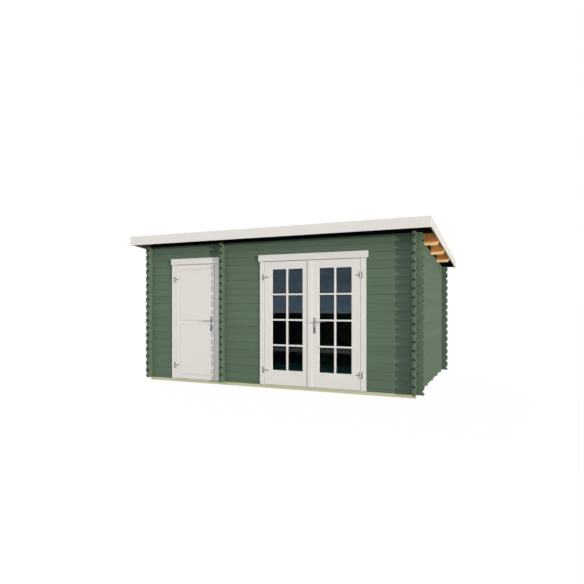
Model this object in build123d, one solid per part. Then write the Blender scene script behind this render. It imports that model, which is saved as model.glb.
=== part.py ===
"""Log cabin with a pent roof that falls to the rear: a main room behind a glazed double door
and a narrow store behind a panelled door, on one set of foundation bearers.

Row frame, millimetres: origin on the ground under the centre of the walls, +X to the right
seen from the front, +Y to the back, +Z up.
"""

import os

from build123d import *

# Walls, outside face to outside face
WALL_WIDTH = 4500
WALL_DEPTH = 3000
WALL_HEIGHT = 2217
PARTITION_X = -791

# Logs
LOG_COVER = 120.5
LOG_THICK = 44
LOG_OVERRUN = 100
NOTCH = LOG_COVER / 4
SIDE_BASE_LOG = 108
FRONT_BASE_LOG = SIDE_BASE_LOG - LOG_COVER / 2
FRONT_COURSES = 18
BACK_COURSES = 16
DOOR_COURSES = 16
SIDE_COURSES = 18
END_CUT_RUN = 28
END_CUT_RISE = 33

# Foundation and floor
BEARER_HEIGHT = 47
BEARER_WIDTH = 75
BEARER_LENGTH = 4470
BEARER_COUNT = 6
BEARER_PROUD = 3
FLOOR_THICK = 19
FLOOR_GAP = 3

# Roof
ROOF_FALL = 0.0847
OVERHANG_DEPTH = 240
OVERHANG_SIDE = 226
TRIM_THICK = 20
FRONT_FASCIA_HEIGHT = 147
REAR_FASCIA_HEIGHT = 120
BARGEBOARD_HEIGHT = 138
FASCIA_TOP = 2387
FELT_THICK = 2.5
FELT_LAP = 60
DECK_THICK = 16
PURLIN_THICK = 60
PURLIN_HEIGHT = 180
PURLIN_BEVEL_DEEP = 20
PURLIN_BEVEL_TALL = 38
FIRST_PURLIN = 668
PURLIN_PITCH = 747.5
PURLIN_COUNT = 3
EAVES_BOARD_THICK = 24
EAVES_BOARD_SET_BACK = 4
EAVES_BOARD_GAP = 2

# Doors, shared
JAMB_WIDTH = 38
TRIM_PROUD = 18
STOP_DEEP = 17
STOP_WIDE = 15
LEAF_THICK = 40
LEAF_BOTTOM = 12
LEAF_TOP = 1893
HEAD_BOTTOM = 1900
HEAD_HEIGHT = 38
HEAD_TRIM_HEIGHT = 98
HEAD_TRIM_PROUD = 30
CASING_WIDTH = 40
THRESHOLD_THICK = 6
THRESHOLD_LIP = 18
HINGE_GAP = 5
LOCK_GAP = 7.5

# Store door
STORE_LEAF = (-1702, -954)
STORE_TRIM = (-1796, -860)
STORE_PANEL = (-1617, -1039)
STORE_PANEL_ROWS = ((84, 909), (975, 1816))
PANEL_DEPTH = 12

# Double door
LEFT_LEAF = (-46, 655)
RIGHT_LEAF = (664, 1468)
DOUBLE_TRIM = (-152, 1582)
LEFT_GLASS = (79, 586)
RIGHT_GLASS = (844, 1342)
GLASS_ROWS = (231, 1775)
GLASS_THICK = 14
STRIP_WIDTH = 71
STRIP_PROUD = 8

# Round ironmongery is drawn with flats, fewer where it bends
ROD_SIDES = 12
LEVER_SIDES = 8

# Hinges
KNUCKLE_RADIUS = 7
PIN_RADIUS = 3
PIN_CLEARANCE = 0.4
HINGE_HEIGHT = 95
MID_KNUCKLE = 30
KNUCKLE_GAP = 1.5
PIN_OFFSET = KNUCKLE_RADIUS + 0.5
STRAP_LENGTH = 75
STRAP_WIDTH = 26
STRAP_TIP = 16
PLATE_THICK = 3
HINGE_LEVELS = (232, 1658)

# Handles
HANDLE_LEVEL = 975
HANDLE_PLATE = (38, 240, 4)
PLATE_CORNER = 9
PLATE_PLAY = 0.5
PLATE_CENTRE = 927
STORE_HANDLE_X = -1008
RIGHT_HANDLE_X = 775
SPINDLE_RADIUS = 4
SPINDLE_BORE = 4.6
LEVER_RADIUS = 8
LEVER_NECK = 48
LEVER_LENGTH = 112
LEVER_BEND = 14

# Places worked out from the sizes above
BASE = BEARER_HEIGHT
FRONT = -WALL_DEPTH / 2
BACK = WALL_DEPTH / 2
SIDE = WALL_WIDTH / 2
HALF_LOG = LOG_THICK / 2
INNER_FRONT = FRONT + LOG_THICK
INNER_BACK = BACK - LOG_THICK
LEAF_FACE = FRONT - TRIM_PROUD
LEAF_BACK = LEAF_FACE + LEAF_THICK
STOP_FACE = INNER_FRONT - STOP_DEEP
ROOF_FRONT = FRONT - OVERHANG_DEPTH
ROOF_BACK = BACK + OVERHANG_DEPTH
ROOF_SIDE = SIDE + OVERHANG_SIDE
DECK_SIDE = ROOF_SIDE - TRIM_THICK
DECK_FRONT = ROOF_FRONT + TRIM_THICK
DECK_BACK = ROOF_BACK - FELT_THICK
HINGE_PIN_Y = LEAF_FACE - PIN_OFFSET
STORE_OPENING = (STORE_LEAF[0] - HINGE_GAP - JAMB_WIDTH, STORE_LEAF[1] + LOCK_GAP + JAMB_WIDTH)
DOUBLE_OPENING = (LEFT_LEAF[0] - HINGE_GAP - JAMB_WIDTH, RIGHT_LEAF[1] + HINGE_GAP + JAMB_WIDTH)


def box(low, high):
    """Solid box between two corners."""
    size = [b - a for a, b in zip(low, high)]
    return Pos(*low) * Box(*size, align=(Align.MIN, Align.MIN, Align.MIN))


def rod(radius, length):
    """Upright round bar about the origin."""
    return extrude(RegularPolygon(radius, ROD_SIDES), amount=length / 2, both=True)


def wall_box(x, y, z):
    """Box given as three (low, high) pairs, with z counted from the foot of the walls."""
    return box((x[0], y[0], z[0] + BASE), (x[1], y[1], z[1] + BASE))


def prism_x(points, x0, x1):
    """Closed outline of (y, z) points, extruded from x0 to x1."""
    outline = Polyline([(x0, y, z) for y, z in points], close=True)
    return extrude(make_face(outline), amount=x1 - x0, dir=(1, 0, 0))


def prism_y(points, y0, y1):
    """Closed outline of (x, z) points, extruded from y0 to y1."""
    outline = Polyline([(x, y0, z) for x, z in points], close=True)
    return extrude(make_face(outline), amount=y1 - y0, dir=(0, 1, 0))


def prism_z(points, z0, z1):
    """Closed outline of (x, y) points, extruded from z0 to z1."""
    outline = Polyline([(x, y, z0) for x, y in points], close=True)
    return extrude(make_face(outline), amount=z1 - z0, dir=(0, 0, 1))


def wall_top(y):
    """Height of the sloping top of the side walls at y."""
    return BASE + WALL_HEIGHT - ROOF_FALL * (y - FRONT)


def trim_top(y):
    """Height of the bargeboards' top edge at y."""
    return BASE + FASCIA_TOP - ROOF_FALL * (y - DECK_FRONT)


def felt_top(y):
    return trim_top(y) - FELT_THICK / 2


def deck_top(y):
    return felt_top(y) - FELT_THICK


def deck_under(y):
    return deck_top(y) - DECK_THICK


def sloping_slab(top, under, y0, y1, x0, x1):
    """Slab between two sloping surfaces, each given as a height for any y."""
    return prism_x([(y0, under(y0)), (y1, under(y1)), (y1, top(y1)), (y0, top(y0))], x0, x1)


def notch(centre, level, depth):
    """Four points of a notch one log wide, cut to a depth from a log's lower or upper edge."""
    a = centre - HALF_LOG
    b = centre + HALF_LOG
    return [(a, level), (a, level + depth), (b, level + depth), (b, level)]


def log_outline(start, end, bottom, top, crossings, shaped_start, shaped_end):
    """Side view of one log: notched a quarter of its height above and below at each crossing,
    with its free ends cut to the corner profile. The log at the foot of the wall has neither
    on its lower edge."""
    lifted = bottom > BASE
    points = [(start, bottom)]
    if lifted and shaped_start:
        points = [(start, bottom + END_CUT_RISE), (start + END_CUT_RUN, bottom)]
    if lifted:
        for centre in crossings:
            points += notch(centre, bottom, NOTCH)
    if lifted and shaped_end:
        points += [(end - END_CUT_RUN, bottom), (end, bottom + END_CUT_RISE)]
    else:
        points += [(end, bottom)]
    points += [(end, top)]
    for centre in reversed(crossings):
        points += notch(centre, top, -NOTCH)[::-1]
    points += [(start, top)]
    return points


def side_outline(start, end, bottom, top, base_notch):
    """Side wall log: the one at the foot is notched over the front and back walls' half logs."""
    crossings = (FRONT + HALF_LOG, BACK - HALF_LOG)
    points = log_outline(start, end, bottom, top, crossings, True, True)
    if bottom > BASE:
        return points
    foot = [point for centre in crossings for point in notch(centre, bottom, base_notch)]
    return points[:1] + foot + points[1:]


def course_heights(base_log, courses):
    """Bottom and top of each course, the cut-down one at the foot first."""
    heights = [(BASE, BASE + base_log)]
    for course in range(courses):
        bottom = BASE + base_log + course * LOG_COVER
        heights.append((bottom, bottom + LOG_COVER))
    return heights


def front_wall():
    """Courses of the front wall: three lengths beside the doors, then two full-length logs."""
    wall_end = SIDE + LOG_OVERRUN
    corners = (-SIDE + HALF_LOG, PARTITION_X, SIDE - HALF_LOG)
    courses = []
    for number, (bottom, top) in enumerate(course_heights(FRONT_BASE_LOG, FRONT_COURSES)):
        if number > DOOR_COURSES:
            lengths = [(-wall_end, wall_end, corners, True, True)]
        else:
            lengths = [
                (-wall_end, STORE_OPENING[0], corners[:1], True, False),
                (STORE_OPENING[1], DOUBLE_OPENING[0], corners[1:2], False, False),
                (DOUBLE_OPENING[1], wall_end, corners[2:], False, True),
            ]
        logs = []
        for start, end, crossings, shaped_start, shaped_end in lengths:
            outline = log_outline(start, end, bottom, top, crossings, shaped_start, shaped_end)
            logs.append(prism_y(outline, FRONT, INNER_FRONT))
        courses.append(logs)
    return courses


def back_wall():
    """Courses of the back wall, the top log planed to the fall of the roof."""
    wall_end = SIDE + LOG_OVERRUN
    corners = (-SIDE + HALF_LOG, PARTITION_X, SIDE - HALF_LOG)
    courses = []
    for bottom, top in course_heights(FRONT_BASE_LOG, BACK_COURSES):
        outline = log_outline(-wall_end, wall_end, bottom, top, corners, True, True)
        log = prism_y(outline, INNER_BACK, BACK)
        if top > wall_top(BACK):
            log = log & under_roof_line()
        courses.append([log])
    return courses


def under_roof_line():
    """Everything below the sloping line of the wall tops."""
    y0 = FRONT - 2 * LOG_OVERRUN
    y1 = BACK + 2 * LOG_OVERRUN
    reach = SIDE + 2 * LOG_OVERRUN
    return prism_x([(y0, 0), (y1, 0), (y1, wall_top(y1)), (y0, wall_top(y0))], -reach, reach)


def cross_wall(centre, seats):
    """Courses of a wall that runs front to back, cut to the roof line and notched for the purlins."""
    start = FRONT - LOG_OVERRUN
    end = BACK + LOG_OVERRUN
    base_core = FRONT_BASE_LOG - NOTCH
    courses = []
    for bottom, top in course_heights(SIDE_BASE_LOG, SIDE_COURSES):
        outline = side_outline(start, end, bottom, top, base_core)
        log = prism_x(outline, centre - HALF_LOG, centre + HALF_LOG)
        if top > wall_top(end):
            log = log & under_roof_line()
            for seat in seats:
                log = log - seat
            log = log.solids().sort_by(SortBy.VOLUME)[-1]
        courses.append([log])
    return courses


def purlin_places():
    """Front face of each purlin, front to back."""
    return [FRONT + FIRST_PURLIN + place * PURLIN_PITCH for place in range(PURLIN_COUNT)]


def purlin(y):
    """One purlin: planed to the roof on top, both lower arrises bevelled, its ends cut off below."""
    y1 = y + PURLIN_THICK
    bottom = deck_under(y) - PURLIN_HEIGHT
    shoulder = bottom + PURLIN_BEVEL_TALL
    section = [
        (y + PURLIN_BEVEL_DEEP, bottom),
        (y1 - PURLIN_BEVEL_DEEP, bottom),
        (y1, shoulder),
        (y1, deck_under(y1)),
        (y, deck_under(y)),
        (y, shoulder),
    ]
    beam = prism_x(section, -DECK_SIDE, DECK_SIDE)
    for side in (-1, 1):
        corner = [
            (side * DECK_SIDE, bottom - 1),
            (side * DECK_SIDE, shoulder),
            (side * (DECK_SIDE - END_CUT_RUN), bottom),
            (side * (DECK_SIDE - END_CUT_RUN), bottom - 1),
        ]
        beam = beam - prism_y(corner, y - 1, y1 + 1)
    return beam


def bearers():
    """Treated bearers on the ground, evenly spaced from the front wall to the back wall."""
    first = FRONT - BEARER_PROUD
    last = BACK + BEARER_PROUD - BEARER_WIDTH
    pitch = (last - first) / (BEARER_COUNT - 1)
    half = BEARER_LENGTH / 2
    places = [first + place * pitch for place in range(BEARER_COUNT)]
    return [box((-half, y, 0), (half, y + BEARER_WIDTH, BEARER_HEIGHT)) for y in places]


def room_floor(left_wall, right_wall):
    """Floor of one room, a little clear of the logs all round."""
    x = (left_wall + HALF_LOG + FLOOR_GAP, right_wall - HALF_LOG - FLOOR_GAP)
    y = (INNER_FRONT + FLOOR_GAP, INNER_BACK - FLOOR_GAP)
    return wall_box(x, y, (0, FLOOR_THICK))


def front_fascia():
    z = (FASCIA_TOP - FRONT_FASCIA_HEIGHT, FASCIA_TOP)
    return wall_box((-ROOF_SIDE, ROOF_SIDE), (ROOF_FRONT, DECK_FRONT), z)


def rear_fascia():
    y0 = DECK_BACK - TRIM_THICK
    foot = deck_top(y0) - REAR_FASCIA_HEIGHT
    return sloping_slab(deck_top, lambda y: foot, y0, DECK_BACK, -DECK_SIDE, DECK_SIDE)


def bargeboard(side):
    x = sorted((side * DECK_SIDE, side * ROOF_SIDE))
    return sloping_slab(trim_top, lambda y: trim_top(y) - BARGEBOARD_HEIGHT, DECK_FRONT, ROOF_BACK, *x)


def roof_deck():
    return sloping_slab(deck_top, deck_under, DECK_FRONT, DECK_BACK - TRIM_THICK, -DECK_SIDE, DECK_SIDE)


def roof_felt():
    """Felt over the deck and the rear fascia's top edge."""
    return sloping_slab(felt_top, deck_top, DECK_FRONT, DECK_BACK, -DECK_SIDE, DECK_SIDE)


def rear_felt_lap():
    """End of the felt, turned down behind the rear fascia."""
    edge = felt_top(ROOF_BACK) - FELT_LAP
    return sloping_slab(felt_top, lambda y: edge, DECK_BACK, ROOF_BACK, -DECK_SIDE, DECK_SIDE)


def eaves_boards():
    """Dark boards that close the gap between the wall tops and the deck, between the purlins."""
    inner = SIDE - EAVES_BOARD_SET_BACK - EAVES_BOARD_THICK
    outer = SIDE - EAVES_BOARD_SET_BACK
    front = FRONT + EAVES_BOARD_SET_BACK
    front_end = front + EAVES_BOARD_THICK
    back = BACK - EAVES_BOARD_SET_BACK
    back_end = back - EAVES_BOARD_THICK
    level = BASE + WALL_HEIGHT
    boards = [
        sloping_slab(deck_under, lambda y: level, front, front_end, -outer, outer),
        sloping_slab(deck_under, wall_top, back_end, back, -outer, outer),
    ]
    stops = [front_end]
    for y in purlin_places():
        stops += [y, y + PURLIN_THICK]
    stops.append(back_end)
    for side in (-1, 1):
        x = sorted((side * inner, side * outer))
        for y0, y1 in zip(stops[0::2], stops[1::2]):
            gap = EAVES_BOARD_GAP
            boards.append(sloping_slab(deck_under, wall_top, y0 + gap, y1 - gap, *x))
    return boards


def jambs(opening):
    """Rebated posts on both sides of a doorway."""
    posts = []
    for outer, inward in ((opening[0], 1), (opening[1], -1)):
        inner = outer + inward * JAMB_WIDTH
        stop = inner + inward * STOP_WIDE
        section = [
            (outer, LEAF_FACE),
            (inner, LEAF_FACE),
            (inner, STOP_FACE),
            (stop, STOP_FACE),
            (stop, INNER_FRONT),
            (outer, INNER_FRONT),
        ]
        posts.append(prism_z(section, BASE + THRESHOLD_THICK, BASE + HEAD_BOTTOM))
    return posts


def between_stops(opening):
    inset = JAMB_WIDTH + STOP_WIDE
    return (opening[0] + inset, opening[1] - inset)


def door_head(opening):
    """Head of a doorway, with its stop between the jambs' stops."""
    head = wall_box(opening, (FRONT, INNER_FRONT), (HEAD_BOTTOM, HEAD_BOTTOM + HEAD_HEIGHT))
    stop = wall_box(between_stops(opening), (STOP_FACE, INNER_FRONT), (HEAD_BOTTOM - STOP_WIDE, HEAD_BOTTOM))
    return head + stop


def threshold(opening):
    """Low sill plate with an upstand behind the door."""
    plate = wall_box(opening, (LEAF_FACE, INNER_FRONT), (0, THRESHOLD_THICK))
    lip_top = THRESHOLD_THICK + THRESHOLD_LIP
    lip = wall_box(between_stops(opening), (STOP_FACE, INNER_FRONT), (THRESHOLD_THICK, lip_top))
    return plate + lip


def casings(opening):
    """Flat boards on the logs beside a doorway."""
    z = (THRESHOLD_THICK, HEAD_BOTTOM)
    y = (LEAF_FACE, FRONT)
    left = wall_box((opening[0] - CASING_WIDTH, opening[0]), y, z)
    right = wall_box((opening[1], opening[1] + CASING_WIDTH), y, z)
    return [left, right]


def head_trim(x):
    return wall_box(x, (FRONT - HEAD_TRIM_PROUD, FRONT), (HEAD_BOTTOM, HEAD_BOTTOM + HEAD_TRIM_HEIGHT))


def spindle_hole(x):
    """Hole for the handle's spindle, through the leaf and both plates."""
    reach = LEAF_THICK + 2 * HANDLE_PLATE[2]
    middle = (LEAF_FACE + LEAF_BACK) / 2
    return Pos(x, middle, BASE + HANDLE_LEVEL) * Rot(90, 0, 0) * rod(SPINDLE_BORE, reach + 2)


def store_leaf():
    """Panelled door: two fields, sunk on both faces."""
    leaf = wall_box(STORE_LEAF, (LEAF_FACE, LEAF_BACK), (LEAF_BOTTOM, LEAF_TOP))
    for row in STORE_PANEL_ROWS:
        leaf = leaf - wall_box(STORE_PANEL, (LEAF_FACE, LEAF_FACE + PANEL_DEPTH), row)
        leaf = leaf - wall_box(STORE_PANEL, (LEAF_BACK - PANEL_DEPTH, LEAF_BACK), row)
    return leaf - spindle_hole(STORE_HANDLE_X)


def glazed_leaf(leaf_x, glass_x):
    """Frame of a glazed leaf: stiles, top rail and deep bottom rail."""
    leaf = wall_box(leaf_x, (LEAF_FACE, LEAF_BACK), (LEAF_BOTTOM, LEAF_TOP))
    return leaf - wall_box(glass_x, (LEAF_FACE, LEAF_BACK), GLASS_ROWS)


def glass(glass_x):
    middle = (LEAF_FACE + LEAF_BACK) / 2
    return wall_box(glass_x, (middle - GLASS_THICK / 2, middle + GLASS_THICK / 2), GLASS_ROWS)


def meeting_strip():
    """Cover strip on the meeting stile of the right leaf."""
    x = (RIGHT_LEAF[0], RIGHT_LEAF[0] + STRIP_WIDTH)
    return wall_box(x, (LEAF_FACE - STRIP_PROUD, LEAF_FACE), (LEAF_BOTTOM, LEAF_TOP))


def hinge_fixed(pin_x, leaf_side, level):
    """Frame half of a hinge: plate on the jamb, outer knuckles and the pin through them."""
    z = BASE + level
    half = HINGE_HEIGHT / 2
    inner = MID_KNUCKLE / 2 + KNUCKLE_GAP
    clear = KNUCKLE_RADIUS + 1
    span = JAMB_WIDTH - HINGE_GAP
    y = (LEAF_FACE - PLATE_THICK, LEAF_FACE)
    x = sorted((pin_x - leaf_side * clear, pin_x - leaf_side * span))
    part = box((x[0], y[0], z - half), (x[1], y[1], z + half))
    part = part + Pos(pin_x, HINGE_PIN_Y, z) * rod(PIN_RADIUS, HINGE_HEIGHT)
    arm_x = sorted((pin_x - leaf_side * clear, pin_x))
    for end in (-1, 1):
        z0, z1 = sorted((z + end * inner, z + end * half))
        part = part + Pos(pin_x, HINGE_PIN_Y, (z0 + z1) / 2) * rod(KNUCKLE_RADIUS, z1 - z0)
        part = part + box((arm_x[0], y[0], z0), (arm_x[1], y[1], z1))
    return part


def hinge_strap(pin_x, leaf_side, level):
    """Leaf half of a hinge: tapering strap with the middle knuckle."""
    z = BASE + level
    wide = STRAP_WIDTH / 2
    tip = STRAP_TIP / 2
    end = pin_x + leaf_side * STRAP_LENGTH
    shoulder = end - leaf_side * tip
    outline = [(pin_x, z - wide), (shoulder, z - tip), (end, z), (shoulder, z + tip), (pin_x, z + wide)]
    strap = prism_y(outline, LEAF_FACE - PLATE_THICK, LEAF_FACE)
    knuckle = Pos(pin_x, HINGE_PIN_Y, z) * rod(KNUCKLE_RADIUS, MID_KNUCKLE)
    bore = Pos(pin_x, HINGE_PIN_Y, z) * rod(PIN_RADIUS + PIN_CLEARANCE, MID_KNUCKLE + 2)
    return strap + knuckle - bore


def pin_places():
    """Hinge pin of each leaf: its x, and the side on which the leaf lies."""
    return {
        "store": (STORE_LEAF[0] - HINGE_GAP / 2, 1),
        "left": (LEFT_LEAF[0] - HINGE_GAP / 2, 1),
        "right": (RIGHT_LEAF[1] + HINGE_GAP / 2, -1),
    }


def handle_plates(x):
    """Long plates with cut corners, one on each face of the leaf."""
    width, height, thick = HANDLE_PLATE
    plates = []
    for y in (LEAF_FACE - thick, LEAF_BACK):
        face = Plane(origin=(x, y, BASE + PLATE_CENTRE), x_dir=(0, 0, 1), z_dir=(0, 1, 0))
        outline = Rectangle(height, width)
        outline = chamfer(outline.vertices(), PLATE_CORNER)
        plate = extrude(face * outline, amount=thick)
        plates.append(plate - spindle_hole(x))
    return plates


def lever(x, reach):
    """Lever pair on one spindle: each neck leaves its plate, bends and runs level."""
    z = BASE + HANDLE_LEVEL
    thick = HANDLE_PLATE[2]
    middle = (LEAF_FACE + LEAF_BACK) / 2
    start = LEAF_THICK / 2 + thick + PLATE_PLAY
    part = Pos(x, middle, z) * Rot(90, 0, 0) * rod(SPINDLE_RADIUS, 2 * start + 2)
    for side in (-1, 1):
        y0 = middle + side * start
        y1 = middle + side * (start + LEVER_NECK)
        path = FilletPolyline((x, y0, z), (x, y1, z), (x + reach * LEVER_LENGTH, y1, z), radius=LEVER_BEND)
        section = Plane(origin=(x, y0, z), z_dir=(0, side, 0)) * RegularPolygon(LEVER_RADIUS, LEVER_SIDES)
        part = part + sweep(section, path=path)
    return part


def write(name, solids):
    """Write one node: a single solid, or several that don't touch."""
    if not isinstance(solids, (list, tuple)):
        solids = [solids]
    flat = [solid for shape in solids for solid in shape.solids()]
    shape = flat[0] if len(flat) == 1 else Compound(children=flat)
    shape.label = name
    export_step(shape, f"parts/{name}.step")


def write_walls():
    """Each wall is two nodes, so that the logs of one node don't touch."""
    seats = [purlin(y) for y in purlin_places()]
    walls = {
        "front_wall": front_wall(),
        "back_wall": back_wall(),
        "left_wall": cross_wall(-SIDE + HALF_LOG, seats),
        "right_wall": cross_wall(SIDE - HALF_LOG, seats),
        "partition": cross_wall(PARTITION_X, seats),
    }
    for name, courses in walls.items():
        for first, word in enumerate(("even", "odd")):
            write(f"{name}_{word}_logs", [log for course in courses[first::2] for log in course])
    write("roof_purlins", seats)


def write_base_and_roof():
    write("foundation_bearers", bearers())
    write("main_room_floor", room_floor(PARTITION_X, SIDE - HALF_LOG))
    write("store_floor", room_floor(-SIDE + HALF_LOG, PARTITION_X))
    write("eaves_boards", eaves_boards())
    write("roof_deck", roof_deck())
    write("roof_felt", roof_felt())
    write("rear_felt_lap", rear_felt_lap())
    write("front_fascia", front_fascia())
    write("rear_fascia", rear_fascia())
    write("bargeboards", [bargeboard(-1), bargeboard(1)])


def write_doors():
    frames = {"store_door": (STORE_OPENING, STORE_TRIM), "double_door": (DOUBLE_OPENING, DOUBLE_TRIM)}
    for name, (opening, trim) in frames.items():
        write(f"{name}_jambs", jambs(opening))
        write(f"{name}_head", door_head(opening))
        write(f"{name}_threshold", threshold(opening))
        write(f"{name}_casings", casings(opening))
        write(f"{name}_head_trim", head_trim(trim))
    write("store_leaf", store_leaf())
    write("left_leaf", glazed_leaf(LEFT_LEAF, LEFT_GLASS))
    write("right_leaf", glazed_leaf(RIGHT_LEAF, RIGHT_GLASS) - spindle_hole(RIGHT_HANDLE_X))
    write("left_glass", glass(LEFT_GLASS))
    write("right_glass", glass(RIGHT_GLASS))
    write("meeting_strip", meeting_strip())


def write_hardware():
    fixed = []
    for name, (pin_x, leaf_side) in pin_places().items():
        fixed += [hinge_fixed(pin_x, leaf_side, level) for level in HINGE_LEVELS]
        write(f"{name}_hinge_straps", [hinge_strap(pin_x, leaf_side, level) for level in HINGE_LEVELS])
    write("hinge_pins", fixed)
    write("store_handle_plates", handle_plates(STORE_HANDLE_X))
    write("store_lever", lever(STORE_HANDLE_X, -1))
    write("right_handle_plates", handle_plates(RIGHT_HANDLE_X))
    write("right_lever", lever(RIGHT_HANDLE_X, 1))


os.makedirs("parts", exist_ok=True)
write_walls()
write_base_and_roof()
write_doors()
write_hardware()
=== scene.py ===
"""Log cabin with a pent roof: finishes, small detail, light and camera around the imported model.

It is laid out as an add-on and run as a script. Sizes are in metres, in the cabin's own frame:
origin on the ground under the middle of the walls, +X to the right seen from the front, +Y to
the back, +Z up.
"""

from math import cos, pi, radians, sin, sqrt

import bmesh
import bpy
from mathutils import Matrix, Vector


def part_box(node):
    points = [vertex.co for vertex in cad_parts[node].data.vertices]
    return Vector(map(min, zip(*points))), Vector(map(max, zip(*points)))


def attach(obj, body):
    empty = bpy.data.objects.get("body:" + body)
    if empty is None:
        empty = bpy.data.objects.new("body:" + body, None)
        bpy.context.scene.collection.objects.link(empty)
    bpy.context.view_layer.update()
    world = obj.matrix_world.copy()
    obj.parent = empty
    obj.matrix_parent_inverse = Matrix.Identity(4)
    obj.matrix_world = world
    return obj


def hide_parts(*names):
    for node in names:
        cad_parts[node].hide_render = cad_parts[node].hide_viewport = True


bl_info = {
    "name": "Pent roof log cabin",
    "version": (1, 0, 0),
    "blender": (4, 5, 0),
    "location": "View3D > Sidebar > Cabin",
    "description": "Finishes and small detail for a log cabin with a store room",
    "category": "Object",
}

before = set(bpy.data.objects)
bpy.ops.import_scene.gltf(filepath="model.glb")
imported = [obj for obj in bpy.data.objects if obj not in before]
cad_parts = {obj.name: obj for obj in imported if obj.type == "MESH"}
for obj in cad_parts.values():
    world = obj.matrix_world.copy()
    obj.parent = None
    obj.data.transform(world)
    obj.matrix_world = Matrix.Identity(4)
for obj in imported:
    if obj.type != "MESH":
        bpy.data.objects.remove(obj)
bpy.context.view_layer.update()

# The photograph's frame and camera
PHOTO_SIDE = 584
CAMERA_PLACE = (3.3485, -8.316, 1.2599)
CAMERA_TURN = radians(23.356)
CAMERA_LENS = 30.345
SENSOR = 36.0
HORIZON_ROW = 306.06

# Height of the walls' foot above the ground
WALL_FOOT = 0.047
WALLS = ("front_wall", "back_wall", "left_wall", "right_wall", "partition")
CROSS_WALLS = ("left_wall", "right_wall", "partition")

MILLI = 0.001
MERGE = 1e-5


def linear(colour):
    """Linear red, green, blue and alpha of an sRGB hex colour."""
    parts = [int(colour[place:place + 2], 16) / 255 for place in (1, 3, 5)]
    return [p / 12.92 if p <= 0.04045 else ((p + 0.055) / 1.055) ** 2.4 for p in parts] + [1.0]


def add(tree, kind, sockets=None, **settings):
    """Add a node: its settings by name, and its sockets as values or as links from other sockets."""
    node = tree.nodes.new(kind)
    for name, value in settings.items():
        setattr(node, name, value)
    for name, value in (sockets or {}).items():
        if isinstance(value, bpy.types.NodeSocket):
            tree.links.new(value, node.inputs[name])
        else:
            node.inputs[name].default_value = value
    return node


class CabinSizes(bpy.types.PropertyGroup):
    """Sizes of the small detail."""

    log_ease: bpy.props.FloatProperty(
        name="Log ease", description="Bevel along each log, half the V joint between two",
        default=0.0045, unit="LENGTH")
    end_cut: bpy.props.FloatProperty(
        name="End cut", description="Corner cut off the top of each log's free end",
        default=0.028, unit="LENGTH")
    board_ease: bpy.props.FloatProperty(
        name="Board ease", description="Rounding of the arrises of planed and painted boards",
        default=0.002, unit="LENGTH")
    metal_ease: bpy.props.FloatProperty(
        name="Metal ease", description="Rounding of the edges of the ironmongery",
        default=0.0007, unit="LENGTH")
    floor_board: bpy.props.FloatProperty(
        name="Floor board", description="Cover width of a floor board", default=0.095, unit="LENGTH")
    roof_board: bpy.props.FloatProperty(
        name="Roof board", description="Cover width of a roof board", default=0.096, unit="LENGTH")
    glazing_bar: bpy.props.FloatProperty(
        name="Glazing bar", description="Face width of a glazing bar", default=0.025, unit="LENGTH")
    bar_proud: bpy.props.FloatProperty(
        name="Bar proud", description="How far the bars stand out from the leaf's face",
        default=0.010, unit="LENGTH")
    panel_border: bpy.props.FloatProperty(
        name="Panel border", description="Width of the bevel around the store door's panels",
        default=0.014, unit="LENGTH")
    panel_fall: bpy.props.FloatProperty(
        name="Panel fall", description="How far that bevel falls back from the panel's face",
        default=0.0065, unit="LENGTH")
    bead: bpy.props.FloatProperty(
        name="Bead", description="Width of the bead around the panes", default=0.005, unit="LENGTH")
    nail_spacing: bpy.props.FloatProperty(
        name="Nail spacing", description="Distance between the felt's clout nails",
        default=0.1, unit="LENGTH")


class CabinColours(bpy.types.PropertyGroup):
    """Colours of the finishes, as sRGB hex values."""

    stain: bpy.props.StringProperty(name="Stain", description="Green stain on the logs", default="#5D7260")
    paint: bpy.props.StringProperty(name="Paint", description="White paint", default="#E7E6E4")
    pine: bpy.props.StringProperty(name="Pine", description="Planed untreated pine", default="#EC9C50")
    treated: bpy.props.StringProperty(
        name="Treated pine", description="Pressure treated bearers", default="#C3C5A2")
    boards: bpy.props.StringProperty(name="Floor boards", description="Planed spruce", default="#B08F63")
    dark: bpy.props.StringProperty(name="Dark boards", description="Near black, painted shade under the roof", default="#070C09")
    felt: bpy.props.StringProperty(name="Felt", description="Mineral roofing felt", default="#4B4F4E")
    zinc: bpy.props.StringProperty(name="Zinc", description="Zinc plated steel", default="#B6B8B6")
    steel: bpy.props.StringProperty(name="Steel", description="Satin steel handles", default="#B4B7BA")


def sizes():
    return bpy.context.scene.cabin_sizes


def colours():
    return bpy.context.scene.cabin_colours


# Materials


def new_material(name):
    """Empty node material, and its tree."""
    material = bpy.data.materials.new(name)
    material.use_nodes = True
    material.node_tree.nodes.clear()
    return material, material.node_tree


def finish_surface(tree, **sockets):
    """Principled surface wired to the output. Underscores in the names stand for spaces."""
    named = {name.replace("_", " "): value for name, value in sockets.items()}
    shader = add(tree, "ShaderNodeBsdfPrincipled", named)
    add(tree, "ShaderNodeOutputMaterial", {"Surface": shader.outputs[0]})


def shade(colour, factor):
    """The colour made lighter or darker by a factor, in linear light."""
    return [min(1.0, part * factor) for part in linear(colour)[:3]] + [1.0]


# How far the pattern of wood jumps from board to board
BOARD_JUMP = (13.7, 7.9, 5.3)

# Grain lines and growth rings are this many times longer than wide
GRAIN_STRETCH = 45
RING_STRETCH = 24

# Knots along a board, as a share of those across it
KNOTS_ALONG = 0.45


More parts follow.
